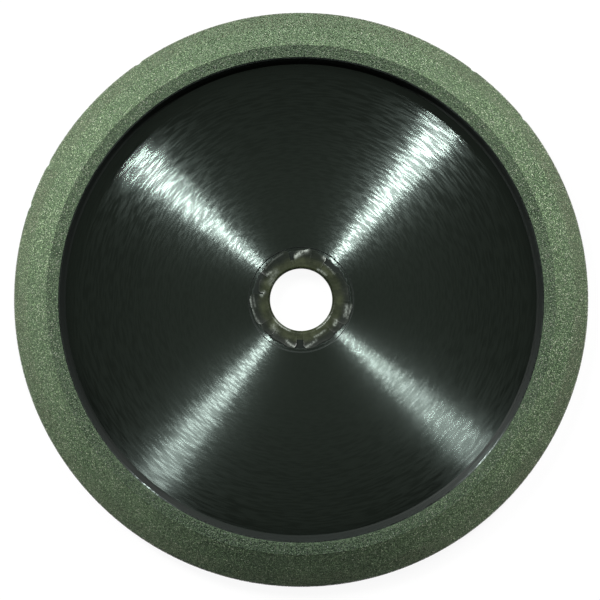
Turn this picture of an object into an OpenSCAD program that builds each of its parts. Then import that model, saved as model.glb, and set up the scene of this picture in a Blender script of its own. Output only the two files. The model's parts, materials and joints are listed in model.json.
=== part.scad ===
// Diamond profile wheel: a turned steel wheel with a recessed face, whose raised rim
// carries a plated layer of diamond grit. Millimetres, +Z out of the front face.
// The origin is the centre of the bore on the flat back, on which the wheel lies.

/* [Wheel] */
// Diameter over the grit
wheel_d = 203.2; // [180:0.1:230]
// Height from the flat back to the working face of the grit
wheel_h = 20; // [17:0.5:26]
// Thickness of the web, from the flat back to the recess floor
web_t = 8; // [5:0.5:10]
// Chamfer around the back, at the outer edge
back_chamfer = 1; // [0.5:0.1:2]

/* [Rim] */
// Radial width of the conical flank, measured on the steel
flank_w = 12; // [8:0.5:14]
// Slope of the flank, away from the plane of the wheel, in degrees
flank_angle = 45; // [30:1:48]
// Radial width of the flat land between the flank and the recess
land_w = 4.5; // [3:0.1:8]
// Radius of the rounded corner between the flank and the outer edge
edge_r = 3; // [1:0.5:4]

/* [Recess] */
// Lean of the recess wall, from the wheel's axis, in degrees
wall_draft = 3; // [0.5:0.5:8]
// Radius between the recess wall and the recess floor
floor_fillet_r = 0.8; // [0.4:0.1:2]
// Chamfer on the lip between the land and the recess wall
lip_chamfer = 0.35; // [0.1:0.05:0.8]
// Diameter of the shallow relief around the bore, in the recess floor
relief_d = 37.4; // [34:0.2:50]
// Depth of that relief, which has a 45 degree edge
relief_depth = 0.4; // [0.3:0.05:1]

/* [Bore] */
// Diameter of the bore, a running fit on a spindle
bore_d = 22.23; // [16:0.01:32]
// Chamfer at both ends of the bore
bore_chamfer = 0.6; // [0.3:0.1:1.2]

/* [Diamond coating] */
// Thickness of the layer of grit and plated metal
grit_t = 0.5; // [0.3:0.05:0.8]
// Bare land left between the grit and the lip of the recess
grit_inset = 0.15; // [0:0.05:0.5]
// Height of the band of grit on the outer edge, below the rounded corner
grit_band_h = 2; // [1:0.5:3]

/* [Bore film] */
// Thickness of the film
film_t = 0.25; // [0.1:0.05:0.3]
// Gap from the film to the chamfer of the bore, and to the edge of the relief
film_gap = 0.2; // [0.1:0.1:0.6]
// Radial width of the unbroken ring of film inside its petals
film_ring_w = 2.2; // [1:0.1:3]

/* [Hidden] */
$fn = 128;
ARC_STEPS = 12;
slack = 1;

steel_r = wheel_d / 2 - grit_t;
land_z = wheel_h - grit_t;
flank_top_r = steel_r - flank_w;
flank_drop = flank_w * tan(flank_angle);
mouth_r = flank_top_r - land_w;
wall_lean = (land_z - web_t) * tan(wall_draft);
floor_r = mouth_r - wall_lean;
bore_r = bore_d / 2;
grit_in_r = mouth_r + lip_chamfer + grit_inset;

// The rounded corner is centred on one point for the steel and for the grit over it
corner_r = steel_r - edge_r;
corner_z = land_z - flank_drop - edge_r * (1 / cos(flank_angle) - tan(flank_angle));

// The relief's floor, where the bore opens and the film lies
relief_r = relief_d / 2;
relief_floor_r = relief_r - relief_depth;
relief_z = web_t - relief_depth;

film_in_r = bore_r + bore_chamfer + film_gap;
film_ring_r = film_in_r + film_ring_w;
petal_reach = relief_floor_r - film_gap - film_ring_r;

// Petals of the film, each cut off straight: where it starts and ends, clockwise from the
// top in degrees, and how far each of those corners reaches, as a share of the longest
PETALS = [
    [-53, -17, 0.88, 1.00],
    [-10, 1, 0.16, 0.78],
    [0, 30, 0.80, 0.90],
    [52, 90, 0.30, 0.33],
    [88, 116, 0.75, 0.72],
    [134, 176, 0.02, 0.75],
    [184, 218, 0.78, 0.35],
    [235, 277, 0.60, 0.99],
];

// A point at a radius, and at an angle clockwise from the top
function clock_point(r, a) = [r * sin(a), r * cos(a)];

// Points along an arc, with angles from the section's first axis, in degrees
function arc(centre, r, from_a, to_a) = [
    for (i = [0:ARC_STEPS])
        let (a = from_a + (to_a - from_a) * i / ARC_STEPS)
            centre + r * [cos(a), sin(a)]
];

// Section of the turned blank, with a layer of the given thickness over its front and edge
module blank_section(layer) {
    outer_r = steel_r + layer;
    polygon(concat(
        [
            [0, 0],
            [outer_r - back_chamfer, 0],
            [outer_r, back_chamfer]
        ],
        arc([corner_r, corner_z], edge_r + layer, 0, 90 - flank_angle),
        [
            [flank_top_r + layer * tan(flank_angle / 2), land_z + layer],
            [0, land_z + layer]
        ]
    ));
}

// Section of the recess: the relief, a flat floor, a fillet, a leaning wall and a chamfered lip
module recess_section() {
    fillet_centre = [
        floor_r + floor_fillet_r * (tan(wall_draft) - 1 / cos(wall_draft)),
        web_t + floor_fillet_r
    ];
    lip_z = land_z - lip_chamfer;
    polygon(concat(
        [
            [0, relief_z],
            [relief_floor_r, relief_z],
            [relief_r, web_t]
        ],
        arc(fillet_centre, floor_fillet_r, -90, -wall_draft),
        [
            [mouth_r - lip_chamfer * tan(wall_draft), lip_z],
            [mouth_r + lip_chamfer, land_z],
            [mouth_r + lip_chamfer, land_z + slack],
            [0, land_z + slack]
        ]
    ));
}

// Section of the bore, with a chamfer at each end
module bore_section() {
    polygon([
        [0, -slack],
        [bore_r + bore_chamfer, -slack],
        [bore_r + bore_chamfer, 0],
        [bore_r, bore_chamfer],
        [bore_r, relief_z - bore_chamfer],
        [bore_r + bore_chamfer, relief_z],
        [bore_r + bore_chamfer, relief_z + slack],
        [0, relief_z + slack]
    ]);
}

// The steel, turned in one piece
module wheel_body() {
    color([0.13, 0.14, 0.13])
        rotate_extrude()
            difference() {
                blank_section(0);
                recess_section();
                bore_section();
            }
}

// The grit: the skin between the blank and the same blank with a layer over it
module diamond_coating() {
    band_z = corner_z - grit_band_h;
    color([0.42, 0.49, 0.39])
        rotate_extrude()
            difference() {
                intersection() {
                    blank_section(grit_t);
                    translate([grit_in_r, band_z])
                        square([wheel_d, wheel_h]);
                }
                blank_section(0);
            }
}

// One petal of the film, as a sector with a straight outer side
module petal(from_a, to_a, from_reach, to_reach) {
    polygon([
        clock_point(film_in_r + slack / 2, from_a),
        clock_point(film_in_r + slack / 2, to_a),
        clock_point(film_ring_r + petal_reach * to_reach, to_a),
        clock_point(film_ring_r + petal_reach * from_reach, from_a)
    ]);
}

// The film folded out of the bore over the floor of the relief
module bore_film() {
    color([0.40, 0.42, 0.28])
        translate([0, 0, relief_z])
            linear_extrude(film_t)
                difference() {
                    union() {
                        circle(r = film_ring_r);
                        for (p = PETALS)
                            petal(p[0], p[1], p[2], p[3]);
                    }
                    circle(r = film_in_r);
                }
}

wheel_body();
diamond_coating();
bore_film();
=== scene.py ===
# %% [markdown]
# # A diamond profile wheel
#
# The object is a grinding wheel, turned from steel. Its face is bored out to a flat recess, and the
# rim that is left around it carries a layer of diamond grit: on a narrow flat land, on the 45 degree
# flank outside it, and round the corner on to the edge. A thin olive film lies around the bore.
#
# The construction comes packed, as a fixed frame of solids. This script dresses it: it reads the turned
# section back out of the solids, spins finer surfaces from it, sets single crystals into the rim, and
# gives each surface its finish.

# %% Load the fixed frame
import json
import math

import bpy
import numpy as np
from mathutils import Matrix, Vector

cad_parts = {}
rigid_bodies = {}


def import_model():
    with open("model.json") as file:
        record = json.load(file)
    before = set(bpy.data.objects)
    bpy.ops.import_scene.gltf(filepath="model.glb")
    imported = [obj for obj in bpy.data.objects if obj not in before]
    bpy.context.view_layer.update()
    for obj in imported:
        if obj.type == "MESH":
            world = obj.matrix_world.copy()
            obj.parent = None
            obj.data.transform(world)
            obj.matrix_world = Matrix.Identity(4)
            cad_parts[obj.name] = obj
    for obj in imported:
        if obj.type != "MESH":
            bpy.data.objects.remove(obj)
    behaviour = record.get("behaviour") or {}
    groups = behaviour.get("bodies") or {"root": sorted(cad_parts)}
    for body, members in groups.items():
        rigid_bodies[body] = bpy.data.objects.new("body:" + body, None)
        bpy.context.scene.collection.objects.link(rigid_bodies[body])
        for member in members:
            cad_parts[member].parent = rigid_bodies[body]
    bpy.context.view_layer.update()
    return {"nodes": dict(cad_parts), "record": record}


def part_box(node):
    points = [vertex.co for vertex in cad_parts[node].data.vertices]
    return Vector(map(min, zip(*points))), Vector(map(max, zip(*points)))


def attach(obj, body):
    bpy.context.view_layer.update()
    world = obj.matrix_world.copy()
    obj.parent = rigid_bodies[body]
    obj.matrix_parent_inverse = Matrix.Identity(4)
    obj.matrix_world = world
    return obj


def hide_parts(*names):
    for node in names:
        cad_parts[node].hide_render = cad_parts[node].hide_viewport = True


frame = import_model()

MM = 0.001

# %% [markdown]
# ## Reading the section
#
# Everything on a lathe part follows from its section: the outline on one side of the axis, which the
# lathe spins into the whole form. The solids arrive as triangles. Each of their vertices lies on one of
# a few rings, and a ring is one corner of the section. An edge between two rings is one side of it. So
# walking from ring to ring along those edges gives the section back, in order, with no size typed twice.

# %% Walk round a turned node's section
def section_loop(node):
    """The corners of a turned node's section as (radius, height), in order from its lowest corner."""
    mesh = frame["nodes"][node].data
    points = np.empty(len(mesh.vertices) * 3)
    mesh.vertices.foreach_get("co", points)
    points = points.reshape(-1, 3)
    rings = np.column_stack([np.hypot(points[:, 0], points[:, 1]), points[:, 2]]).round(6)
    corners, ring_of = np.unique(rings, axis=0, return_inverse=True)
    edges = np.empty(len(mesh.edges) * 2, int)
    mesh.edges.foreach_get("vertices", edges)
    sides = np.unique(np.sort(ring_of.reshape(-1)[edges].reshape(-1, 2), axis=1), axis=0)
    sides = sides[sides[:, 0] != sides[:, 1]]
    walk = [int(np.lexsort((corners[:, 0], corners[:, 1]))[0])]
    while len(walk) < len(corners):
        here = walk[-1]
        near = [int(b if a == here else a) for a, b in sides if here in (a, b)]
        ahead = [corner for corner in near if corner not in walk]
        if not ahead:
            break
        walk.append(max(ahead, key=lambda corner: corners[corner, 0]) if len(walk) == 1 else ahead[0])
    return corners[walk]


steel_loop = section_loop("wheel_body")
grit_loop = section_loop("diamond_coating")
print("steel section:", len(steel_loop), "corners; grit section:", len(grit_loop), "corners")

# %% Name the sizes that the finishes need
# Two lengths are taken as equal below the first gap, and as clearly apart above the second
SAME = 1e-6
CLEARLY = 0.01 * MM


def steel_radii_at(height):
    """Radii of the steel section's corners at a height."""
    return steel_loop[np.abs(steel_loop[:, 1] - height) < SAME][:, 0]


WHEEL_R = grit_loop[:, 0].max()
WHEEL_Z = grit_loop[:, 1].max()
LAND_Z = steel_loop[:, 1].max()
GRIT_T = WHEEL_Z - LAND_Z
GRIT_IN_R = grit_loop[:, 0].min()
BORE_R = steel_loop[:, 0].min()
RIDGE_R = grit_loop[grit_loop[:, 1] > WHEEL_Z - SAME][:, 0].max()
mounts = {mount["name"]: mount for mount in frame["record"]["mounts"]}
FLOOR_Z = mounts["flange_seat"]["pos_m"][2]
FLOOR_R = steel_radii_at(FLOOR_Z).max()
RELIEF_R = steel_radii_at(FLOOR_Z).min()
RELIEF_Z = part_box("bore_film")[0].z
RELIEF_FLOOR_R = steel_radii_at(RELIEF_Z).max()
CHAMFER_R = steel_radii_at(RELIEF_Z).min()
inside_land = (steel_loop[:, 0] < GRIT_IN_R - CLEARLY) & (steel_loop[:, 1] < LAND_Z - CLEARLY)
LIP_Z = steel_loop[inside_land, 1].max()
print(f"wheel radius {WHEEL_R / MM:.2f} mm, ridge {RIDGE_R / MM:.2f}, floor {FLOOR_R / MM:.2f},"
      f" bore {BORE_R / MM:.3f}, grit {GRIT_T / MM:.2f} thick")

# %% [markdown]
# ## Stage and camera
#
# The photograph looks straight down the axis, from far enough away that the recess wall is only a thin
# ring. The wheel lies on its flat back, and the camera hangs above it, so the wheel's own up is the
# camera's view. A long lens at about 1.3 m gives the same faint perspective: the far end of the bore is
# a little smaller than its near end.
#
# The floor is plain and pale. Most of its brightness is its own, and only the camera, mirrors and glass
# see that, so it stays white without more light on the wheel. The rest is paint, which takes the wheel's
# shadow. Light that bounces from the floor finds a darker paint, because a white floor close under a
# narrow rim would light it from below, and the photograph's flank is dark at the bottom.

# %% Camera above the bore, looking down
# One of the picture's pixels covers PIXEL at the height EDGE_Z. Sizes are in metres
PICTURE_PIXELS = 600
PIXEL = 0.3534 * MM
SENSOR = 0.036
CAMERA_ABOVE_EDGE = 1.29
FAR_CLIP = 30
EDGE_Z = 7.7 * MM
OFF_CENTRE_PIXELS = (1.15, 0.20)


def make_camera():
    """Looks along -Z with +Y up; the lens makes one pixel cover PIXEL at the height of the outer edge."""
    lens = bpy.data.cameras.new("photo_camera")
    lens.sensor_width = SENSOR / MM
    lens.lens = SENSOR / MM * CAMERA_ABOVE_EDGE / (PICTURE_PIXELS * PIXEL)
    lens.clip_end = FAR_CLIP
    camera = bpy.data.objects.new("photo_camera", lens)
    right, up = (-pixels * PIXEL for pixels in OFF_CENTRE_PIXELS)
    camera.location = (right, up, EDGE_Z + CAMERA_ABOVE_EDGE)
    bpy.context.scene.collection.objects.link(camera)
    bpy.context.scene.camera = camera
    print(f"camera: {lens.lens:.0f} mm lens, {camera.location.z:.3f} m above the floor")


make_camera()
bpy.context.scene.view_settings.view_transform = "Standard"

# %% [markdown]
# ## Writing shaders as sums
#
# A node tree is easier to read as a sum. `Signal` wraps one output socket, and each operator on it adds
# the Math node that does the work. Colours are mixed with Mix nodes, because a Math node would turn them
# grey. Every other node comes from `node`, which takes its type, its settings and its inputs.

# %% A socket that can be added up
class Signal:
    """One output of a node, on which sums can be written as plain Python."""

    def __init__(self, tree, socket=None):
        self.tree = tree
        self.socket = socket

    def node(self, kind, settings=None, inputs=None, output=0):
        """Adds a node, sets it up, fills its inputs by name or number, and gives one of its outputs."""
        made = self.tree.nodes.new(kind)
        for name, value in (settings or {}).items():
            if name == "stops":
                self.set_stops(made.color_ramp, value)
            else:
                setattr(made, name, value)
        for name, value in (inputs or {}).items():
            socket = made.inputs[name]
            if isinstance(value, Signal):
                self.tree.links.new(value.socket, socket)
            else:
                socket.default_value = value
        return Signal(self.tree, made.outputs[output])

    @staticmethod
    def set_stops(ramp, stops):
        """Puts (position, colour) stops on a colour ramp."""
        while len(ramp.elements) < len(stops):
            ramp.elements.new(1.0)
        for element, (position, colour) in zip(ramp.elements, stops):
            element.position = position
            element.color = colour

    def math(self, operation, *values):
        """A Math node on this signal and the given values."""
        return self.node("ShaderNodeMath", {"operation": operation}, dict(enumerate((self, *values))))

    def __add__(self, other):
        return self.math("ADD", other)

    def __sub__(self, other):
        return self.math("SUBTRACT", other)

    def __mul__(self, other):
        return self.math("MULTIPLY", other)

    def __truediv__(self, other):
        return self.math("DIVIDE", other)

    def __pow__(self, other):
        return self.math("POWER", other)

    def reflected(self, operation, other):
        """A Math node with the plain number first, for sums such as 1 - mask."""
        return self.node("ShaderNodeMath", {"operation": operation}, {0: other, 1: self})

    def __rsub__(self, other):
        return self.reflected("SUBTRACT", other)

    def __rtruediv__(self, other):
        return self.reflected("DIVIDE", other)

    def __rpow__(self, other):
        return self.reflected("POWER", other)

    __radd__ = __add__
    __rmul__ = __mul__

    def rise(self, low, high):
        """A smooth step: 0 below low, 1 above high."""
        settings = {"interpolation_type": "SMOOTHSTEP"}
        return self.node("ShaderNodeMapRange", settings, {"Value": self, "From Min": low, "From Max": high})

    def between(self, low, high, soft):
        """1 between two edges and 0 outside them, with soft shoulders."""
        return self.rise(low - soft, low + soft) * (1 - self.rise(high - soft, high + soft))

    def blend(self, first, second):
        """Mixes two colours, inputs 6 and 7 of a Mix node, with this signal as the second's share."""
        return self.node("ShaderNodeMix", {"data_type": "RGBA"}, {0: self, 6: first, 7: second}, 2)

# %% Materials, places and noise
def grey(value):
    """A neutral colour."""
    return (value, value, value, 1.0)


def new_material(name, colour):
    """A node material with its colour in the viewport: gives the material, its tree and its shader."""
    material = bpy.data.materials.new(name)
    material.use_nodes = True
    material.diffuse_color = colour
    tree = material.node_tree
    return material, tree, tree.nodes["Principled BSDF"]


def wire(tree, shader, inputs):
    """Sets or links the shader's own sockets."""
    for name, value in inputs.items():
        if isinstance(value, Signal):
            tree.links.new(value.socket, shader.inputs[name])
        else:
            shader.inputs[name].default_value = value


def polar_place(tree):
    """Object coordinates, radius, height, and the direction away from the axis as its across and up."""
    place = Signal(tree).node("ShaderNodeTexCoord", output="Object")
    parts = place.node("ShaderNodeSeparateXYZ", inputs={0: place}).socket.node.outputs
    x, y, z = (Signal(tree, part) for part in parts)
    radius = (x * x + y * y).math("SQRT")
    return place, radius, z, x / radius, y / radius


def noise(place, scale, detail=3.0, roughness=0.6):
    """A 3D noise value from 0 to 1."""
    return place.node("ShaderNodeTexNoise",
                      {"noise_dimensions": "3D"},
                      {"Vector": place, "Scale": scale, "Detail": detail, "Roughness": roughness})

# %% Pale floor and a far wall
# Radius and height of the floor's section in metres: flat under the wheel, then a low wall far away
FLOOR_SECTION = [(0.3, 0.0), (1.0, 0.0), (3.5, 0.0), (3.9, 0.05), (4.0, 0.12), (4.0, 0.25)]
FLOOR_AROUND = 96
FLOOR_GAP = 0.04 * MM


def make_stage():
    """Spins the section (x = r cos t, y = r sin t) and closes its middle with a fan."""
    radius, height = np.array(FLOOR_SECTION).T
    height = height - FLOOR_GAP
    turn = np.linspace(0, 2 * np.pi, FLOOR_AROUND, endpoint=False)
    x = np.outer(np.cos(turn), radius)
    y = np.outer(np.sin(turn), radius)
    z = np.broadcast_to(height, x.shape)
    points = np.stack([x, y, z], -1).reshape(-1, 3)
    index = np.arange(x.size).reshape(x.shape)
    after = np.roll(index, -1, 0)
    quads = np.stack([index[:, :-1], index[:, 1:], after[:, 1:], after[:, :-1]], -1).reshape(-1, 4)
    fan = np.column_stack([np.full(len(index), len(points)), index[:, 0], after[:, 0]])
    middle = [0.0, 0.0, float(height[0])]
    mesh = bpy.data.meshes.new("pale_floor")
    mesh.from_pydata(points.tolist() + [middle], [], quads.tolist() + fan.tolist())
    floor = bpy.data.objects.new("pale_floor", mesh)
    bpy.context.scene.collection.objects.link(floor)
    print("pale_floor:", len(mesh.polygons), "faces")
    return floor


stage_floor = make_stage()

# %% Paint of the floor
OWN_WHITE = 0.93
PAINT_SEEN = grey(0.85)
PAINT_FOR_BOUNCES = grey(0.25)


def floor_material():
    """Pale diffuse paint that also shows its own white to the camera, to mirrors and through glass."""
    material, tree, shader = new_material("floor_paint", grey(0.9))
    start = Signal(tree)
    seen = start.node("ShaderNodeLightPath", output="Is Camera Ray")
    light_path = seen.socket.node
    for ray in ("Is Glossy Ray", "Is Transmission Ray"):
        seen = seen.math("MAXIMUM", Signal(tree, light_path.outputs[ray]))
    colour = seen.blend(PAINT_FOR_BOUNCES, PAINT_SEEN)
    paint = start.node("ShaderNodeBsdfDiffuse", inputs={"Color": colour})
    white = start.node("ShaderNodeEmission", inputs={"Color": grey(1.0), "Strength": 1.0})
    mixed = start.node("ShaderNodeMixShader", inputs={0: seen * OWN_WHITE, 1: paint, 2: white})
    tree.nodes.remove(shader)
    tree.links.new(mixed.socket, tree.nodes["Material Output"].inputs["Surface"])
    return material


stage_floor.data.materials.append(floor_material())
print("floor_paint:", OWN_WHITE, "of its white is its own")

# %% [markdown]
# ## Light
#
# The bright bow tie on the recess floor shows where the lamps stand. Turning leaves circular scratches,
# and a circular scratch mirrors a lamp to a viewer on the axis only where it runs square to the lamp's
# direction. So each lamp draws one bright streak towards itself and a second one opposite. Four streaks
# mean two lamps: one at the upper left and one at the upper right. A lamp's height carries its streaks
# out along the floor, and its width sets how wide they are, so both lamps are tall and narrow. The room
# around them is dim, which is why bare steel looks black, and a little brighter straight overhead, so that
# the floor of the recess gets darker from the bore outwards.

# %% Two tall softboxes
# Clock angle and angle from the axis in degrees, width and height in metres, power in watts
LAMPS = {
    "lamp_upper_right": {"clock": 39.5, "zenith": 44.0, "width": 0.090, "height": 0.96, "power": 18.4},
    "lamp_upper_left": {"clock": 310.5, "zenith": 43.5, "width": 0.108, "height": 0.60, "power": 22.2},
}
LAMP_DISTANCE = 1.2


def make_lamp(name, clock, zenith, width, height, power):
    """A rectangle towards (sin zenith sin clock, sin zenith cos clock, cos zenith) that faces the wheel."""
    away = np.array([
        math.sin(math.radians(zenith)) * math.sin(math.radians(clock)),
        math.sin(math.radians(zenith)) * math.cos(math.radians(clock)),
        math.cos(math.radians(zenith)),
    ])
    lamp = bpy.data.lights.new(name, "AREA")
    lamp.shape = "RECTANGLE"
    lamp.size = width
    lamp.size_y = height
    lamp.energy = power
    holder = bpy.data.objects.new(name, lamp)
    holder.location = away * LAMP_DISTANCE
    holder.rotation_euler = holder.location.to_track_quat("Z", "Y").to_euler()
    bpy.context.scene.collection.objects.link(holder)
    print(name, "at", [round(v, 3) for v in holder.location])


for lamp_name, lamp_values in LAMPS.items():
    make_lamp(lamp_name, **lamp_values)

# %% Dim room
ROOM_TINT = (0.95, 1.0, 0.86, 1.0)
ROOM_LIGHT = 0.029
CEILING_LIGHT = 0.085
CEILING_FALL = 4

room = bpy.data.worlds.new("dim_room")
room.use_nodes = True
background = room.node_tree.nodes["Background"]
upward = Signal(room.node_tree).node("ShaderNodeTexCoord", output="Generated")
upward = upward.node("ShaderNodeSeparateXYZ", inputs={0: upward}, output=2)
ceiling = upward.math("MAXIMUM", 0.0) ** CEILING_FALL * CEILING_LIGHT + ROOM_LIGHT
wire(room.node_tree, background, {"Color": ROOM_TINT, "Strength": ceiling})
bpy.context.scene.world = room
print("room:", ROOM_LIGHT, "at the horizon and", ROOM_LIGHT + CEILING_LIGHT, "overhead")

# %% [markdown]
# ## Surfaces from numbers
#
# A turned piece is a closed loop of (radius, height) points carried once round the axis. As an array,
# that is one outer product for x, one for y and a repeated column for z. The grid closes on itself both
# ways, so the piece has no seam and no open edge.

# %% Put arrays into a mesh
def put_mesh(name, points, faces):
    """A mesh object at the origin from an array of points and an array of equal-sided faces."""
    mesh = bpy.data.meshes.new(name)
    sides = faces.shape[1]
    mesh.vertices.add(len(points))
    mesh.vertices.foreach_set("co", points.astype(np.float32).reshape(-1))
    mesh.loops.add(faces.size)
    mesh.loops.foreach_set("vertex_index", faces.astype(np.int32).reshape(-1))
    mesh.polygons.add(len(faces))
    mesh.polygons.foreach_set("loop_start", np.arange(0, faces.size, sides, dtype=np.int32))
    mesh.update(calc_edges=True)
    mesh.validate()
    made = bpy.data.objects.new(name, mesh)
    bpy.context.scene.collection.objects.link(made)
    return made


def keep_value(made, name, values):
    """Writes one number per point on a piece, for its material to read."""
    attribute = made.data.attributes.new(name, "FLOAT", "POINT")
    attribute.data.foreach_set("value", values.astype(np.float32))

# %% Spin a closed section
def ring_quads(around, along):
    """Quads of a grid that closes both ways: `around` steps about the axis, `along` round the section."""
    index = np.arange(around * along).reshape(around, along)
    next_turn = np.roll(index, -1, 0)
    corners = [index, np.roll(index, -1, 1), np.roll(next_turn, -1, 1), next_turn]
    return np.stack(corners, -1).reshape(-1, 4)


def spin(name, loop, around):
    """Spins a closed (radius, height) loop: x = r cos t, y = r sin t, z = h, for t once round."""
    turn = np.linspace(0, 2 * np.pi, around, endpoint=False)[:, None]
    radius = loop[None, :, 0]
    height = np.broadcast_to(loop[None, :, 1], (around, len(loop)))
    points = np.stack([radius * np.cos(turn), radius * np.sin(turn), height], -1).reshape(-1, 3)
    return put_mesh(name, points, ring_quads(around, len(loop)))


def signed_area(loop):
    """Twice the area of a loop: positive where it runs against the clock."""
    after = np.roll(loop, -1, 0)
    return float(np.sum(loop[:, 0] * after[:, 1] - after[:, 0] * loop[:, 1]))

# %% Cut a path finely, and shade a piece
def resample(path, step):
    """Points along a path, with every corner kept and each side cut into equal lengths up to step."""
    found = [path[:1]]
    for start, end in zip(path[:-1], path[1:]):
        pieces = max(1, math.ceil(np.linalg.norm(end - start) / step - SAME))
        share = np.arange(1, pieces + 1)[:, None] / pieces
        found.append(start + (end - start) * share)
    return np.concatenate(found)


def soften_corners(made, sharp_above):
    """Shades a piece smoothly, apart from edges sharper than an angle in degrees."""
    made.data.polygons.foreach_set("use_smooth", np.ones(len(made.data.polygons), bool))
    made.data.set_sharp_from_angle(angle=math.radians(sharp_above))

# %% [markdown]
# ## The steel
#
# The body is one turned piece of dark steel. Its section is the frame's, and the recess wall gets the
# fine ridges that a boring tool leaves: each ring of points on the wall moves a few hundredths of a
# millimetre in or out, by a seeded draw, so the ridges are real geometry that catches the light.

# %% Body spun from the section, with a ridged wall
AROUND = 720
STEEL_SHARP = 28
COARSE_STEP = 3.0 * MM
WALL_STEP = 0.28 * MM
WALL_RISE = 3 * MM
RIDGE_DEPTH = 0.03 * MM
RIDGES_FROM_Z = FLOOR_Z + 1.2 * MM
RIDGES_TO_Z = LAND_Z - 0.6 * MM
RIDGE_SEED = 7


def steel_section():
    """The steel loop, cut finely on the recess wall, whose rings are shifted to make turned ridges."""
    closed = np.vstack([steel_loop, steel_loop[:1]])
    pieces = []
    for start, end in zip(closed[:-1], closed[1:]):
        lean = abs(end[0] - start[0])
        rise = abs(end[1] - start[1])
        on_wall = rise > WALL_RISE and lean < rise and GRIT_IN_R > start[0] > FLOOR_R
        pieces.append(resample(np.array([start, end]), WALL_STEP if on_wall else COARSE_STEP)[:-1])
    loop = np.concatenate(pieces)
    if signed_area(loop) < 0:
        loop = loop[::-1]
    inside = (loop[:, 0] < GRIT_IN_R) & (loop[:, 0] > FLOOR_R)
    inside &= (loop[:, 1] > RIDGES_FROM_Z) & (loop[:, 1] < RIDGES_TO_Z)
    draws = np.random.default_rng(RIDGE_SEED).uniform(-1, 1, inside.sum())
    loop[inside, 0] += draws * RIDGE_DEPTH
    return loop


steel_body = spin("steel_body", steel_section(), AROUND)
soften_corners(steel_body, STEEL_SHARP)
print("steel_body:", len(steel_body.data.polygons), "faces")

# %% [markdown]
# ### Finish of the steel
#
# Turned steel looks like a record: thousands of fine circular scratches. An anisotropic shader spreads a
# highlight across them and keeps it narrow along them. Principled alone can't keep it narrow enough, and
# its streaks have a sharp middle and a wide skirt, where the real ones are evenly bright with crisp sides.
# So most of the steel is a Glossy shader with a stronger direction, which shows the lamp's own width, and
# the Principled under it gives the faint skirt and the dull places. Their shares are a Mix Shader's factor.
#
# Single scratches come from a noise that changes fast with the radius and slowly round the axis. It tilts
# the surface a little outwards or inwards, and a second one sways it along the lay, which frays the sides.
# A highlight this far off its mirror angle is very sensitive to tilt, so the lines show in the streaks
# while the dark floor between them stays smooth. Painted lines would show all over the floor, and a Bump
# node compares heights a pixel apart, which blurs lines as fine as these, so the tilt is worked out here.
#
# The steel is dull where the film has stained it, on the edge of the relief and on the recess wall, which
# the side of the tool cut. Painted shade darkens the wall and its lip towards the lower left, and the floor
# next to the wall in its lower half.

# %% Circular lay
# Each pattern's changes in a metre of radius, and in a radian round the axis
SCRATCHES = (1800, 14.0)
CROSSINGS = (1500, 16.0)
RINGS = (500, 1.2)
RINGS_ON_WALLS = 900
LAY_GRAIN = 0.65
SCRATCH_EDGES = (0.32, 0.68)
SCRATCH_TILT = 0.10
SCRATCH_SWAY = 0.007


def lay(spot, rings_per_m, swirl, detail=0.0):
    """Noise stretched into arcs: fast with the radius, slow round the axis."""
    place, radius, height, across, up = spot
    arcs = {0: across * swirl, 1: up * swirl, 2: radius * rings_per_m + height * RINGS_ON_WALLS}
    return noise(place.node("ShaderNodeCombineXYZ", inputs=arcs), 1.0, detail, LAY_GRAIN)


def scratched_normal(spot, scratches):
    """The normal plus a tilt along the radius and a sway across it, brought back to a length of 1."""
    place, _, _, across, up = spot
    crossings = lay(spot, *CROSSINGS).rise(*SCRATCH_EDGES)
    tilt = (scratches - 0.5) * SCRATCH_TILT
    sway = (crossings - 0.5) * SCRATCH_SWAY
    lean = {0: across * tilt - up * sway, 1: up * tilt + across * sway}
    facing = place.node("ShaderNodeNewGeometry", output="Normal")
    away = place.node("ShaderNodeCombineXYZ", inputs=lean)
    tilted = place.node("ShaderNodeVectorMath", {"operation": "ADD"}, {0: facing, 1: away})
    return place.node("ShaderNodeVectorMath", {"operation": "NORMALIZE"}, {0: tilted})

# %% Where the steel is dull or stained, and where shade is painted on it
SOFT = 0.05 * MM
STAIN_R = 17.3 * MM
STAIN_RAGGED = 2.0 * MM
STAIN_SOFT = 0.3 * MM
# Width of the band of painted shade on the recess floor next to the wall
PAINTED_SHADE_BAND = 9 * MM
DIAGONAL = 0.707


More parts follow.
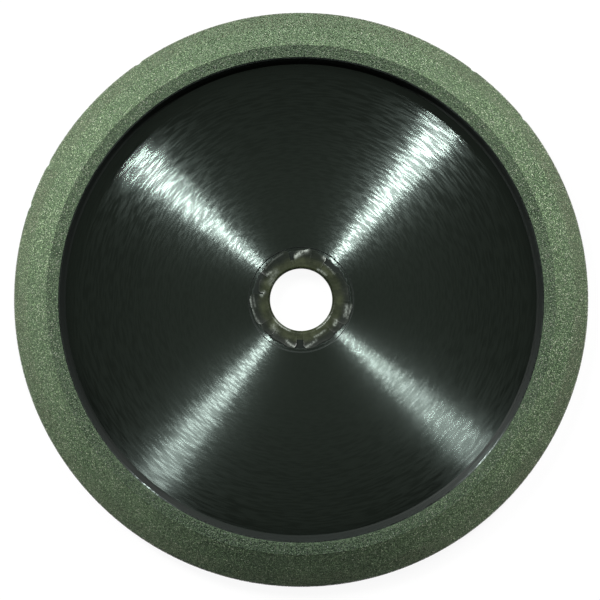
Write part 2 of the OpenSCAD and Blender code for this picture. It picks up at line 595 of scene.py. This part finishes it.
def dull_places(spot):
    """Shares of dull steel, of stains and painted shade on it, and of painted shade in the lower corner of
    the recess floor.
    """
    place, radius, height, across, up = spot
    in_front = height.rise(RELIEF_Z - 0.30 * MM, RELIEF_Z - SOFT)
    in_recess = (1 - radius.rise(GRIT_IN_R, GRIT_IN_R + SOFT)) * in_front
    above_lip = height.rise(LIP_Z - SOFT, LIP_Z + SOFT)
    on_wall = radius.rise(FLOOR_R - 2 * SOFT, FLOOR_R + 0.02 * MM) * in_recess * (1 - above_lip)
    on_edge = radius.between(RELIEF_FLOOR_R, RELIEF_R, 0.04 * MM) * in_front
    ragged_r = radius + (noise(place, 700.0, 2.0) - 0.5) * STAIN_RAGGED
    stained = (1 - ragged_r.rise(STAIN_R - STAIN_SOFT, STAIN_R + STAIN_SOFT)) * in_front
    # Painted shade: the wall and its lip are drawn darker towards the lower left
    painted_shade_lower_left = ((across + up) * -DIAGONAL).rise(0.3, 0.9)
    specks = noise(place, 1500.0, 1.0).rise(0.42, 0.58)
    dull_and_shaded_lip = above_lip * in_recess * (painted_shade_lower_left * 0.20 + 0.25 + specks * 0.60).math("MINIMUM", 1.0)
    dull = on_wall.math("MAXIMUM", stained).math("MAXIMUM", on_edge).math("MAXIMUM", dull_and_shaded_lip)
    stain_and_painted_shade = (on_wall * painted_shade_lower_left * 0.75).math("MAXIMUM", stained)
    # Painted shade: the floor next to the wall is drawn darker in the lower half
    lower = (up * -1).between(0.35, 0.92, 0.15)
    low_painted_shade = radius.rise(FLOOR_R - PAINTED_SHADE_BAND, FLOOR_R) * in_recess * lower * 0.45
    return dull, stain_and_painted_shade, low_painted_shade

# %% Dark turned steel
STEEL_LIGHT = (0.238, 0.294, 0.268, 1.0)
STEEL_DARK = (0.003, 0.004, 0.003, 1.0)
STREAK_STEEL = (0.145, 0.180, 0.165, 1.0)
# Dark colours of dull and stained steel, which also carry the painted shade on the wall, the lip and the
# floor's lower corner
DULL_AND_SHADE_DARK = (0.016, 0.019, 0.017, 1.0)
STAIN_AND_SHADE_DARK = (0.010, 0.013, 0.011, 1.0)
# Shine mixes the light steel into the dark, and adds a little to the Glossy shader's share
SHINE_AT_BORE = 0.85
SHINE_LOST_OUTWARDS = 0.70
UNEVEN = 0.25
STREAK_SHARE = 0.66
STREAK_SHARE_OF_SHINE = 0.12


def turned_steel():
    """Glossy streaks over a Principled metal, which takes over where the steel is dull or painted with
    shade.
    """
    material, tree, shader = new_material("turned_steel", (0.05, 0.055, 0.05, 1))
    spot = polar_place(tree)
    place, radius = spot[:2]
    scratches = lay(spot, *SCRATCHES).rise(*SCRATCH_EDGES)
    rings = lay(spot, *RINGS, 3.0)
    dull, stain_and_painted_shade, low_painted_shade = dull_places(spot)
    outward_fade = radius.rise(RELIEF_R, FLOOR_R)
    uneven = (rings - 0.5) * UNEVEN + (scratches - 0.5) * UNEVEN
    shine = (SHINE_AT_BORE - outward_fade * SHINE_LOST_OUTWARDS + uneven).math("MAXIMUM", 0.0)
    # Painted shade darkens the floor's lower corner next to the wall
    corner_shaded_steel = low_painted_shade.blend(shine.blend(STEEL_DARK, STEEL_LIGHT), DULL_AND_SHADE_DARK)
    normal = scratched_normal(spot, scratches)
    wire(tree, shader, {
        "Base Color": stain_and_painted_shade.blend(dull.blend(corner_shaded_steel, DULL_AND_SHADE_DARK), STAIN_AND_SHADE_DARK),
        "Metallic": 0.985 - dull * 0.785,
        "Roughness": 0.240 + (rings - 0.5) * 0.012 + dull * 0.32 + stain_and_painted_shade * 0.15,
        "Anisotropic": 0.9,
        "Anisotropic Rotation": 0.25,
        "Specular IOR Level": 0.13,
        "Normal": normal,
    })
    streaks = place.node("ShaderNodeBsdfAnisotropic", {"distribution": "GGX"}, {
        "Color": STREAK_STEEL,
        "Roughness": 0.166,
        "Anisotropy": 0.79,
        "Normal": normal,
    })
    share = (1 - dull.math("MAXIMUM", low_painted_shade)) * (shine * STREAK_SHARE_OF_SHINE + STREAK_SHARE)
    dull_steel = Signal(tree, shader.outputs[0])
    mixed = place.node("ShaderNodeMixShader", inputs={0: share, 1: dull_steel, 2: streaks})
    tree.links.new(mixed.socket, tree.nodes["Material Output"].inputs["Surface"])
    print("turned_steel:", len(tree.nodes), "nodes")
    return material


steel_body.data.materials.append(turned_steel())
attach(steel_body, "root")
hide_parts("wheel_body")

# %% [markdown]
# ## The plated layer
#
# Nickel is plated up around the lowest layer of diamonds until it holds each by a little over half its
# height. Two things are therefore seen: dull metal between the stones, and the stones. The metal is
# spun from the grit's own section, with its outer side sunk to the level of the plating.

# %% The outer side of the grit, from the recess lip to the edge
def outer_side(loop):
    """Cuts the grit's loop at its inner top corner and its lowest outer one: outer face, then underside."""
    inner_top = int(np.lexsort((loop[:, 0], -loop[:, 1]))[0])
    loop = np.roll(loop, -inner_top, 0)
    if loop[1, 1] < WHEEL_Z - SAME:
        loop = np.roll(loop[::-1], 1, 0)
    outer_low = int(np.lexsort((loop[:, 1], -loop[:, 0]))[0])
    return loop[:outer_low + 1], loop[outer_low:]


grit_face, grit_under = outer_side(grit_loop)
print("grit face from", grit_face[0] / MM, "to", grit_face[-1] / MM)

# %% Section of the plating
PLATING_SINK = 0.24 * MM
PLATING_STEP = 0.6 * MM
UNDERSIDE_STEP = 2 * MM


def outward(path):
    """Unit normals of a path that runs from the inner top to the outer bottom: out of the material."""
    along = np.gradient(path, axis=0)
    along /= np.linalg.norm(along, axis=1)[:, None]
    return np.column_stack([-along[:, 1], along[:, 0]])


def plated_metal_section():
    """The grit's loop with its outer face sunk to the plating's level."""
    face = resample(grit_face, PLATING_STEP)
    sunk = face - outward(face) * PLATING_SINK
    sunk[:, 1] = np.maximum(sunk[:, 1], grit_face[-1, 1])
    sunk[:, 0] = np.maximum(sunk[:, 0], GRIT_IN_R)
    under = resample(grit_under, UNDERSIDE_STEP)
    loop = np.vstack([sunk, under[1:]])
    return loop if signed_area(loop) > 0 else loop[::-1]


plating_loop = plated_metal_section()
print("plating section:", len(plating_loop), "corners")

# %% Plating with nicks at its edge
PLATING_AROUND = 1200
PLATING_SHARP = 35
# Clock angle of each nick in degrees, and its depth
NICKS = {36.8: 0.42 * MM, 50.9: 0.38 * MM, 289.1: 0.38 * MM, 298.2: 0.42 * MM, 325.4: 0.42 * MM}
NICK_WIDTH = 0.9 * MM
NICK_REACH = 2 * MM
# The plating takes this share of a nick's depth, and stops this far outside the steel
PLATING_SHARE = 0.6
OFF_STEEL = 0.02 * MM


def nick_depth(turn, radius):
    """Depth times exp(-(distance / width) squared), summed over the nicks and faded inwards."""
    clock = np.pi / 2 - turn
    sunk = np.zeros(np.broadcast(turn, radius).shape)
    for centre, depth in NICKS.items():
        gap = (clock - math.radians(centre) + np.pi) % (2 * np.pi) - np.pi
        sunk += depth * np.exp(-(gap * WHEEL_R / NICK_WIDTH) ** 2)
    return sunk * np.clip(1 - (WHEEL_R - radius) / NICK_REACH, 0, 1)


def cut_nicks(made):
    """Moves the outer points of the plating inwards at each nick, but never into the steel."""
    points = np.empty(len(made.data.vertices) * 3)
    made.data.vertices.foreach_get("co", points)
    points = points.reshape(-1, 3)
    radius = np.hypot(points[:, 0], points[:, 1])
    steel_edge = WHEEL_R - GRIT_T + OFF_STEEL
    depth = nick_depth(np.arctan2(points[:, 1], points[:, 0]), radius) * PLATING_SHARE
    wanted = np.where(radius > steel_edge, np.maximum(radius - depth, steel_edge), radius)
    points[:, :2] *= (wanted / radius)[:, None]
    made.data.vertices.foreach_set("co", points.astype(np.float32).reshape(-1))


plated_metal = spin("plated_metal", plating_loop, PLATING_AROUND)
cut_nicks(plated_metal)
soften_corners(plated_metal, PLATING_SHARP)
print("plated_metal:", len(plated_metal.data.polygons), "faces")

# %% [markdown]
# ## The diamonds
#
# Each stone is an eight-sided crystal about 0.4 mm across, turned its own way and worn nearly flat, so
# every one has a facet that looks brighter or darker than its neighbour's. That is the sparkle. A texture
# could draw the same dots, but real crystals also give the rim its rough outline and catch light from
# every side. They are sown row by row along the section, each a random step off its place, and they sit
# so that none stands past the frame.
#
# The wheel has a few small nicks where stones have broken out at the edge. There the stones sit deeper.
# Along the recess the plating has let go of single stones, which leaves the grit's inner edge ragged.

# %% Eight-sided crystal and its random turns
OCTAHEDRON = np.array([[1, 0, 0], [0, 1, 0], [-1, 0, 0], [0, -1, 0], [0, 0, 1], [0, 0, -1]], float)
OCTAHEDRON_FACES = np.array([
    [0, 1, 4], [1, 2, 4], [2, 3, 4], [3, 0, 4],
    [1, 0, 5], [2, 1, 5], [3, 2, 5], [0, 3, 5],
])
CORNERS = len(OCTAHEDRON)


def random_turns(count, draw):
    """Random rotation matrices, from random unit quaternions."""
    quaternion = draw.normal(size=(4, count))
    w, x, y, z = quaternion / np.linalg.norm(quaternion, axis=0)
    return np.stack([
        np.stack([1 - 2 * (y * y + z * z), 2 * (x * y - z * w), 2 * (x * z + y * w)], -1),
        np.stack([2 * (x * y + z * w), 1 - 2 * (x * x + z * z), 2 * (y * z - x * w)], -1),
        np.stack([2 * (x * z - y * w), 2 * (y * z + x * w), 1 - 2 * (x * x + y * y)], -1),
    ], 1)

# %% Places sown along a stretch of the section
PITCH = 0.46 * MM
STONE_R = (0.17 * MM, 0.27 * MM)
# Share of the pitch by which a stone may stand off its place, either way
JITTER = 0.42
# Each row starts at a random angle, drawn from a little more than a full turn
OVER_A_TURN = 7
# Stretches of the inner edge that can have lost stones, and how far in from the lip at most
BARE_SPOTS = 1100
BARE_REACH = 1.1 * MM
STRETCH_STEP = 0.05 * MM


def sow(path, draw):
    """Places on the spun path, one row per PITCH: radius, height, normal (r, z) and turn of each."""
    rows = resample(path, PITCH * 0.5)
    length = np.concatenate([[0], np.cumsum(np.linalg.norm(np.diff(rows, axis=0), axis=1))])
    measured = np.column_stack([rows, outward(rows)])
    found = []
    for middle in np.arange(PITCH / 2, length[-1], PITCH):
        count = int(2 * np.pi * np.interp(middle, length, rows[:, 0]) / PITCH)
        turn = np.arange(count) + draw.uniform(-JITTER, JITTER, count)
        turn = turn * 2 * np.pi / count + draw.uniform(0, OVER_A_TURN)
        along = np.clip(middle + draw.uniform(-JITTER, JITTER, count) * PITCH, 0, length[-1])
        found.append(np.array([*(np.interp(along, length, column) for column in measured.T), turn]))
    return np.concatenate(found, 1)


def missing_at_inner_edge(radius, turn, draw):
    """Where the plating has let go of stones along the recess: up to BARE_REACH in from the lip."""
    reach = draw.uniform(0, 1, BARE_SPOTS) ** 3 * BARE_REACH
    share = (turn / (2 * np.pi)) % 1 * BARE_SPOTS
    return radius < GRIT_IN_R + STONE_R[0] + reach[share.astype(int) % BARE_SPOTS]


def stretch(path, start, end):
    """The part of a path between two radii, for the land and the two halves of the flank."""
    fine = resample(path, STRETCH_STEP)
    keep = (fine[:, 0] >= start) & (fine[:, 0] <= end)
    return fine[keep]

# %% Crystals set into a stretch
STONE_FLATNESS = 0.26
STONE_STRETCH = (0.8, 1.2)
SINK_SPREAD = 0.06 * MM


def flat_crystals(normal, draw):
    """Octahedra, stretched and turned at random, flattened along the normal; and how far each rises."""
    count = len(normal)
    size = draw.uniform(*STONE_R, (count, 1, 1)) * draw.uniform(*STONE_STRETCH, (count, CORNERS, 1))
    shapes = np.einsum("nij,kj->nki", random_turns(count, draw), OCTAHEDRON) * size
    lift = np.einsum("nki,ni->nk", shapes, normal)
    shapes -= lift[..., None] * normal[:, None, :] * (1 - STONE_FLATNESS)
    return shapes, (lift * STONE_FLATNESS).max(1)


def hold_inside(points, from_axis):
    """Moves each stone that stands past the working face or the edge back by as much as it does."""
    points[..., 2] -= np.clip(points[..., 2].max(1) - WHEEL_Z, 0, None)[:, None]
    proud = np.clip(np.hypot(points[..., 0], points[..., 1]).max(1) - WHEEL_R, 0, None)
    points[..., :2] -= (proud[:, None] * from_axis)[:, None, :]


def make_stones(name, path, seed):
    """Crystals over a stretch, each sunk along its normal until none of it stands past the section."""
    draw = np.random.default_rng(seed)
    places = sow(path, draw)
    places = places[:, ~missing_at_inner_edge(places[0], places[4], draw)]
    radius, height, normal_r, normal_z, turn = places
    count = len(turn)
    from_axis = np.stack([np.cos(turn), np.sin(turn)], -1)
    normal = np.column_stack([normal_r[:, None] * from_axis, normal_z])
    shapes, top = flat_crystals(normal, draw)
    depth = top + draw.uniform(0, SINK_SPREAD, count) + nick_depth(turn, radius)
    centre = np.column_stack([radius[:, None] * from_axis, height]) - normal * depth[:, None]
    points = shapes + centre[:, None, :]
    hold_inside(points, from_axis)
    faces = (OCTAHEDRON_FACES[None] + CORNERS * np.arange(count)[:, None, None]).reshape(-1, 3)
    made = put_mesh(name, points.reshape(-1, 3), faces)
    keep_value(made, "stone_tone", np.repeat(draw.uniform(0, 1, count), CORNERS))
    print(f"{name}: {count} stones, {len(faces)} triangles")
    return made

# %% Five fields of stones
FIRST_SEED = 11
edge_path = grit_face[np.argmax(np.abs(np.diff(grit_face[:, 1]))) + 1:]
flank_foot = edge_path[0]
flank_middle = (RIDGE_R + flank_foot[0]) / 2
band_start = int(np.argmax(edge_path[:, 0] > WHEEL_R - SAME))
FIELDS = {
    "stones_land": stretch(grit_face, GRIT_IN_R + STONE_R[0], RIDGE_R),
    "stones_flank_upper": stretch(grit_face, RIDGE_R, flank_middle),
    "stones_flank_lower": stretch(grit_face, flank_middle, flank_foot[0]),
    "stones_corner": edge_path[:band_start + 1],
    "stones_band": edge_path[band_start:],
}
stones = []
for field_seed, (field_name, field_path) in enumerate(FIELDS.items(), FIRST_SEED):
    stones.append(make_stones(field_name, field_path, field_seed))

# %% [markdown]
# ### Finish of the grit
#
# Under a lens the stones run from straw yellow to bottle green, and the nickel between them is a dull
# grey green. Each stone carries one random number, written on its points as an attribute, and a colour
# ramp turns it into a tone. The flat land is painted darker, as shade, and bluer than the flank, with
# single bright flats. Painted shade darkens the rim at the top and the bottom, and more towards the lower
# left, and the rounded edge is greyer.

# %% Stones
STONE_TONES = [
    (0.0, (0.036, 0.063, 0.029, 1)),
    (0.45, (0.175, 0.284, 0.138, 1)),
    (0.78, (0.430, 0.600, 0.336, 1)),
    (1.0, (0.720, 0.740, 0.600, 1)),
]
DUST = (0.160, 0.160, 0.145, 1)
WORN_GREY = (0.190, 0.160, 0.125, 1)
# Dark green that the clumps and the painted shade blend towards
CLUMP_AND_SHADE_GREEN = (0.023, 0.037, 0.020, 1)
# Bluish dark that the land's painted shade blends towards
LAND_SHADE_BLUE = (0.003, 0.007, 0.011, 1)
BRIGHT_FLAT = (0.37, 0.41, 0.38, 1)
LAND_SHADE = 0.50
EDGE_START_R = flank_foot[0]


def land_share(radius):
    """1 on the flat land and 0 on the flank."""
    return 1 - radius.rise(RIDGE_R - 0.15 * MM, RIDGE_R + 0.15 * MM)


def stone_material():
    """Small crystals, each with its own tone, darkened and dusted in clumps and patches, with painted shade
    at the top, the bottom, the lower left and on the land.
    """
    material, tree, shader = new_material("diamond_stones", (0.16, 0.21, 0.14, 1))
    place, radius, _, across, up = polar_place(tree)
    tone = place.node("ShaderNodeAttribute", {"attribute_name": "stone_tone"}, output="Fac")
    colour = place.node("ShaderNodeValToRGB", {"stops": STONE_TONES}, {0: tone})
    clumps = noise(place, 1100.0, 2.0).rise(0.62, 0.38)
    patches = noise(place, 90.0).rise(0.3, 0.75)
    # Painted shade: darker at the top and the bottom of the rim, and towards the lower left
    painted_shade_top_bottom = up ** 4 * 0.33
    low_painted_shade = ((across * 0.4 + up * 0.9) * -1).rise(0.2, 1.1) * 0.28
    dusty = noise(place, 160.0).rise(0.45, 0.75) * 0.25
    rusty = noise(place, 70.0, 2.0).rise(0.40, 0.62)
    at_edge = radius.rise(EDGE_START_R - 1.5 * MM, EDGE_START_R + 1.0 * MM) * (rusty * 0.25 + 0.25)
    greyer = at_edge.blend(dusty.blend(colour, DUST), WORN_GREY)
    shaded = (clumps * 0.42 + patches * 0.10 + painted_shade_top_bottom + low_painted_shade).blend(greyer, CLUMP_AND_SHADE_GREEN)
    # Painted shade: the land is drawn darker and bluer than the flank
    flat = land_share(radius)
    land_shaded_colour = (flat * (1 - LAND_SHADE)).blend(shaded, LAND_SHADE_BLUE)
    flats = noise(place, 1900.0, 1.0).rise(0.60, 0.68)
    wire(tree, shader, {
        "Base Color": (flat * flats * 0.35).blend(land_shaded_colour, BRIGHT_FLAT),
        "Metallic": 0.0,
        "Roughness": 0.35,
        "Specular IOR Level": 0.10,
    })
    print("diamond_stones:", len(tree.nodes), "nodes")
    return material


diamond = stone_material()

# %% Plating
PLATING_DARK = (0.033, 0.053, 0.031, 1)
PLATING_LIGHT = (0.153, 0.220, 0.133, 1)


def plating_material():
    """Dull plated metal between the stones, with a fine grain, and painted shade on the land."""
    material, tree, shader = new_material("nickel_plating", (0.1, 0.12, 0.09, 1))
    place, radius = polar_place(tree)[:2]
    grain = noise(place, 2600.0, 2.0)
    colour = grain.rise(0.3, 0.7).blend(PLATING_DARK, PLATING_LIGHT)
    bump = place.node("ShaderNodeBump", inputs={"Strength": 0.3, "Distance": 0.05 * MM, "Height": grain})
    wire(tree, shader, {
        # Painted shade: the plating on the land is drawn darker, as the stones are
        "Base Color": (land_share(radius) * (1 - LAND_SHADE)).blend(colour, grey(0.0)),
        "Metallic": 0.1,
        "Roughness": 0.6,
        "Specular IOR Level": 0.10,
        "Normal": bump,
    })
    print("nickel_plating:", len(tree.nodes), "nodes")
    return material

# %% Finishes on the stones and the plating
for field in stones:
    field.data.materials.append(diamond)
    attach(field, "root")
    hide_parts("diamond_coating")
plated_metal.data.materials.append(plating_material())
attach(plated_metal, "root")
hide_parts("diamond_coating")

# %% [markdown]
# ## The film around the bore
#
# A thin olive film is folded out of the bore, over its edge, and lies on the steel in ragged petals. An
# unbroken ring runs round the bore. Each petal is a sheet between an arc near the bore and a straight or
# bulging outer edge, with its own small lift, so that some lie over their neighbours. A sheet is two
# grids, top and underside, joined round their borders. Pale highlights are painted along the film's edges
# and along a few listed strokes where its folds catch the lamps, so each piece of film carries the
# nearness of its edges and of those strokes as attributes for its material.

# %% Measured edges of the film
FILM_T = 0.10 * MM
FILM_GAP = 0.02 * MM
FOLD_R = BORE_R - 0.14 * MM
PETAL_IN_R = BORE_R + 0.30 * MM
# Clock angle and radius of the ring's edge in mm, all the way round
RING_EDGE = [(0, 14.4), (31, 15.2), (50, 15.2), (90, 14.6), (120, 15.2), (134, 15.0), (160, 14.0),
             (181, 14.1), (200, 14.0), (222, 14.8), (238, 15.0), (280, 13.6), (306, 14.4), (360, 14.4)]
# Clock angle and radius of a petal's two outer corners in mm, how far its edge bulges, and its lift
PETALS = [
    (304.0, 18.2, 345.0, 18.5, 0.45, 0.25),
    (350.0, 17.0, 373.0, 18.5, 0.70, 0.30),
    (367.0, 18.5, 392.0, 17.2, 0.90, 0.25),
    (411.0, 16.6, 456.0, 17.2, 1.00, 0.10),
    (452.0, 18.2, 481.0, 18.0, 1.00, 0.25),
    (478.0, 17.2, 496.0, 16.8, 1.00, 0.15),
    (494.0, 17.0, 537.0, 17.6, 0.70, 0.20),
    (546.0, 17.5, 583.0, 16.6, 0.70, 0.20),
    (580.0, 16.6, 600.0, 17.2, 1.00, 0.12),
    (598.0, 17.4, 638.0, 18.2, 1.00, 0.20),
    (640.0, 15.5, 666.0, 16.4, 1.00, 0.10),
]
# Painted highlight strokes on the film: clock angle and radius in mm of both ends, width in mm, strength
HIGHLIGHT_STROKES = [
    (308, 18.1, 336, 18.5, 0.20, 0.50), (311, 16.7, 338, 17.5, 0.20, 0.25),
    (353, 15.6, 6, 17.6, 0.70, 1.00), (0, 18.7, 9, 18.7, 0.25, 0.50),
    (29, 17.2, 38, 15.8, 0.60, 1.00), (36, 17.6, 50, 16.4, 0.22, 0.80),
    (33, 15.3, 52, 14.9, 0.20, 0.50), (29, 12.2, 45, 12.5, 0.30, 0.50),
    (96, 17.8, 112, 17.5, 0.22, 0.50), (98, 16.3, 110, 16.5, 0.50, 0.60),
    (121, 14.5, 127, 14.7, 0.45, 0.70), (142, 13.7, 160, 13.9, 0.30, 0.55),
    (160, 15.2, 176, 17.0, 0.40, 0.60), (186, 17.1, 199, 15.4, 0.40, 0.75),
    (219, 14.5, 226, 13.5, 0.90, 0.35), (239, 16.8, 259, 17.6, 0.25, 0.50),
    (259, 17.6, 276, 18.1, 0.25, 0.55), (262, 16.4, 275, 16.9, 0.22, 0.30),
    (277, 14.1, 281, 13.5, 0.45, 0.90), (300, 12.2, 318, 13.4, 0.90, 0.30),
    (307, 14.9, 313, 14.5, 0.40, 0.60), (120, 11.6, 150, 11.6, 0.25, 0.50),
    (200, 11.6, 235, 11.6, 0.25, 0.50),
]
print("film:", len(PETALS), "petals and", len(HIGHLIGHT_STROKES), "highlight_strokes")

# %% Sheets that follow the steel
def steel_under(x, y):
    """Height of the steel below the film: chamfer of the bore, relief floor and relief edge."""
    radius = np.hypot(x, y)
    rise = np.clip(radius - RELIEF_FLOOR_R, 0, FLOOR_Z - RELIEF_Z)
    return RELIEF_Z - np.clip(CHAMFER_R - radius, 0, None) + rise


def clock_xy(radius, clock):
    """x and y at a radius and an angle clockwise from the top, in degrees."""
    return radius * np.sin(np.radians(clock)), radius * np.cos(np.radians(clock))


def closed_sheet(top):
    """Points and quads of a sheet hung FILM_T below a grid and joined to it round the border."""
    rows, columns = top.shape[:2]
    upper = np.arange(rows * columns).reshape(rows, columns)
    lower = upper + rows * columns
    quads = [np.stack([upper[:-1, :-1], upper[1:, :-1], upper[1:, 1:], upper[:-1, 1:]], -1).reshape(-1, 4),
             np.stack([lower[:-1, :-1], lower[:-1, 1:], lower[1:, 1:], lower[1:, :-1]], -1).reshape(-1, 4)]
    border = np.concatenate([upper[0, :-1], upper[:-1, -1], upper[-1, :0:-1], upper[:0:-1, 0]])
    after = np.roll(border, -1)
    quads.append(np.stack([border, after, after + rows * columns, border + rows * columns], -1))
    points = np.concatenate([top.reshape(-1, 3), top.reshape(-1, 3) - [0, 0, FILM_T]])
    return points, np.concatenate(quads)

# %% One petal
PETAL_GRID = (40, 30)
# A petal's top starts this many film thicknesses above the gap, clear of the ring under it
PETAL_LAYERS = 2.2
# Shares of the radius: how far a petal's corners are rounded back, and how far its points waver
CORNER_CUT = 0.07
RAGGED = 0.010
RAGGED_WAVES = 11
LIFT_AT_SIDES = 0.5
WAVE_HEIGHT = 0.05 * MM
WAVES = 9


def petal(start, start_r, end, end_r, bulge, lift, draw):
    """A petal from an arc (v = 0) to an edge (v = 1) that is straight or bulges, lifted by v cubed."""
    u = np.linspace(0, 1, PETAL_GRID[0])[:, None]
    v = np.linspace(0, 1, PETAL_GRID[1])[None, :]
    clock = start + (end - start) * u
    inner_x, inner_y = clock_xy(PETAL_IN_R, clock)
    arc_x, arc_y = clock_xy((start_r + (end_r - start_r) * u) * MM, clock)
    start_x, start_y = clock_xy(start_r * MM, start)
    end_x, end_y = clock_xy(end_r * MM, end)
    round_off = 1 - CORNER_CUT * (2 * u - 1) ** 10
    outer_x = ((start_x + (end_x - start_x) * u) * (1 - bulge) + arc_x * bulge) * round_off
    outer_y = ((start_y + (end_y - start_y) * u) * (1 - bulge) + arc_y * bulge) * round_off
    ragged = 1 + RAGGED * np.sin(RAGGED_WAVES * u + draw.uniform(0, 6)) * v
    x = (inner_x + (outer_x - inner_x) * v) * ragged
    y = (inner_y + (outer_y - inner_y) * v) * ragged
    curl = lift * MM * (v ** 3 + LIFT_AT_SIDES * np.abs(2 * u - 1) ** 6 * v)
    wave = WAVE_HEIGHT * (1 + np.sin(WAVES * u + draw.uniform(0, 6))) * v
    z = steel_under(x, y) + FILM_GAP + PETAL_LAYERS * FILM_T + curl + wave
    points, quads = closed_sheet(np.stack([x, y, z], -1))
    # Nearness to the outer edge and the sides, which carries the painted highlights along them
    border = np.maximum(v ** 14, 0.5 * (2 * u - 1) ** 20)
    return points, quads, np.tile(border.reshape(-1), 2)

# %% The ring that carries the petals
RING_AROUND = 240
RING_ACROSS = 12


def film_ring():
    """Points and quads of the film's unbroken ring, whose outer edge wanders round the listed radii."""
    clock = np.linspace(0, 360, RING_AROUND, endpoint=False)[:, None]
    v = np.linspace(0, 1, RING_ACROSS)[None, :]
    listed = np.array(RING_EDGE)
    edge = np.interp(clock, listed[:, 0], listed[:, 1]) * MM
    x, y = clock_xy(FOLD_R + (edge - FOLD_R) * v, clock)
    floor = steel_under(x, y) + FILM_GAP
    underside = np.stack([x, y, floor], -1)
    top = np.stack([x, y, floor + FILM_T], -1)[:, ::-1]
    grid = np.concatenate([underside, top], 1)
    # Nearness to both edges of the ring, which carries the painted highlights along them
    border = np.broadcast_to(np.concatenate([v, v[:, ::-1]], 1) ** 10, grid.shape[:2])
    return grid.reshape(-1, 3), ring_quads(RING_AROUND, 2 * RING_ACROSS), border.reshape(-1)

# %% All sheets in one piece
FILM_SEED = 21
FILM_SHARP = 40
HIGHLIGHT_SPREAD = 1.25


def highlight_share(points):
    """Strength times exp(-(distance / spread width) squared), for the painted highlight stroke that tells
    most.
    """
    clock = np.degrees(np.arctan2(points[:, 0], points[:, 1])) % 360
    radius = np.hypot(points[:, 0], points[:, 1])
    share = np.zeros(len(points))
    for start, start_r, end, end_r, width, strength in HIGHLIGHT_STROKES:
        span = (end - start) % 360
        past = (clock - start + 180) % 360 - 180
        along = np.clip(past / span, 0, 1)
        off_end = np.radians(past - along * span) * radius
        off_line = radius - (start_r + (end_r - start_r) * along) * MM
        fall = np.exp(-(off_end ** 2 + off_line ** 2) / (HIGHLIGHT_SPREAD * width * MM) ** 2)
        share = np.maximum(share, strength * fall)
    return share


def make_film():
    """All sheets in one piece, which carries how near each point is to its sheet's edge and to a painted
    highlight stroke.
    """
    draw = np.random.default_rng(FILM_SEED)
    sheets = [film_ring()] + [petal(*values, draw) for values in PETALS]
    points, quads, borders = zip(*sheets)
    starts = np.cumsum([0] + [len(part) for part in points[:-1]])
    shifted = [part + start for part, start in zip(quads, starts)]
    made = put_mesh("film_petals", np.concatenate(points), np.concatenate(shifted))
    keep_value(made, "film_border", np.concatenate(borders))
    keep_value(made, "film_crease", highlight_share(np.concatenate(points)))
    soften_corners(made, FILM_SHARP)
    print("film_petals:", len(sheets), "sheets,", len(made.data.polygons), "faces")
    return made


film = make_film()

# %% Olive film
OLIVE_DARK = (0.015, 0.020, 0.009, 1)
OLIVE_LIGHT = (0.034, 0.042, 0.020, 1)
OUTER_GREY = (0.009, 0.013, 0.010, 1)
# Pale colour of the painted highlights on the film
PAINTED_HIGHLIGHT = (0.42, 0.47, 0.42, 1)
GREY_FROM_R = 13.5 * MM
GREY_TO_R = 16.0 * MM


def film_material():
    """Thin glossy film: olive where it lies flat, greyer further out, with pale painted highlights along
    edges and listed strokes.
    """
    material, tree, shader = new_material("olive_film", (0.16, 0.17, 0.08, 1))
    place, radius = polar_place(tree)[:2]
    border = place.node("ShaderNodeAttribute", {"attribute_name": "film_border"}, output="Fac")
    highlight_stroke = place.node("ShaderNodeAttribute", {"attribute_name": "film_crease"}, output="Fac")
    stains = noise(place, 220.0)
    broken = noise(place, 1300.0, 2.0).rise(0.30, 0.62)
    # Painted highlights along the edges and the listed strokes, broken up by a noise
    pale = (border * 0.05 + highlight_stroke * 0.6) * (broken * 0.8 + 0.2)
    outer = radius.rise(GREY_FROM_R, GREY_TO_R)
    olive = stains.rise(0.3, 0.7).blend(OLIVE_DARK, OLIVE_LIGHT)
    greyer = (outer * 0.85).blend(olive, OUTER_GREY)
    ripple = noise(place, 500.0)
    bump = place.node("ShaderNodeBump", inputs={"Strength": 0.5, "Distance": 0.2 * MM, "Height": ripple})
    wire(tree, shader, {
        "Base Color": pale.blend(greyer, PAINTED_HIGHLIGHT),
        "Roughness": 0.34,
        "Specular IOR Level": 0.35,
        "Alpha": (0.60 + pale + (stains - 0.5) * 0.6 - outer * 0.2).math("MINIMUM", 1.0),
        "Normal": bump,
    })
    print("olive_film:", len(tree.nodes), "nodes")
    return material


film.data.materials.append(film_material())
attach(film, "root")
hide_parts("bore_film")
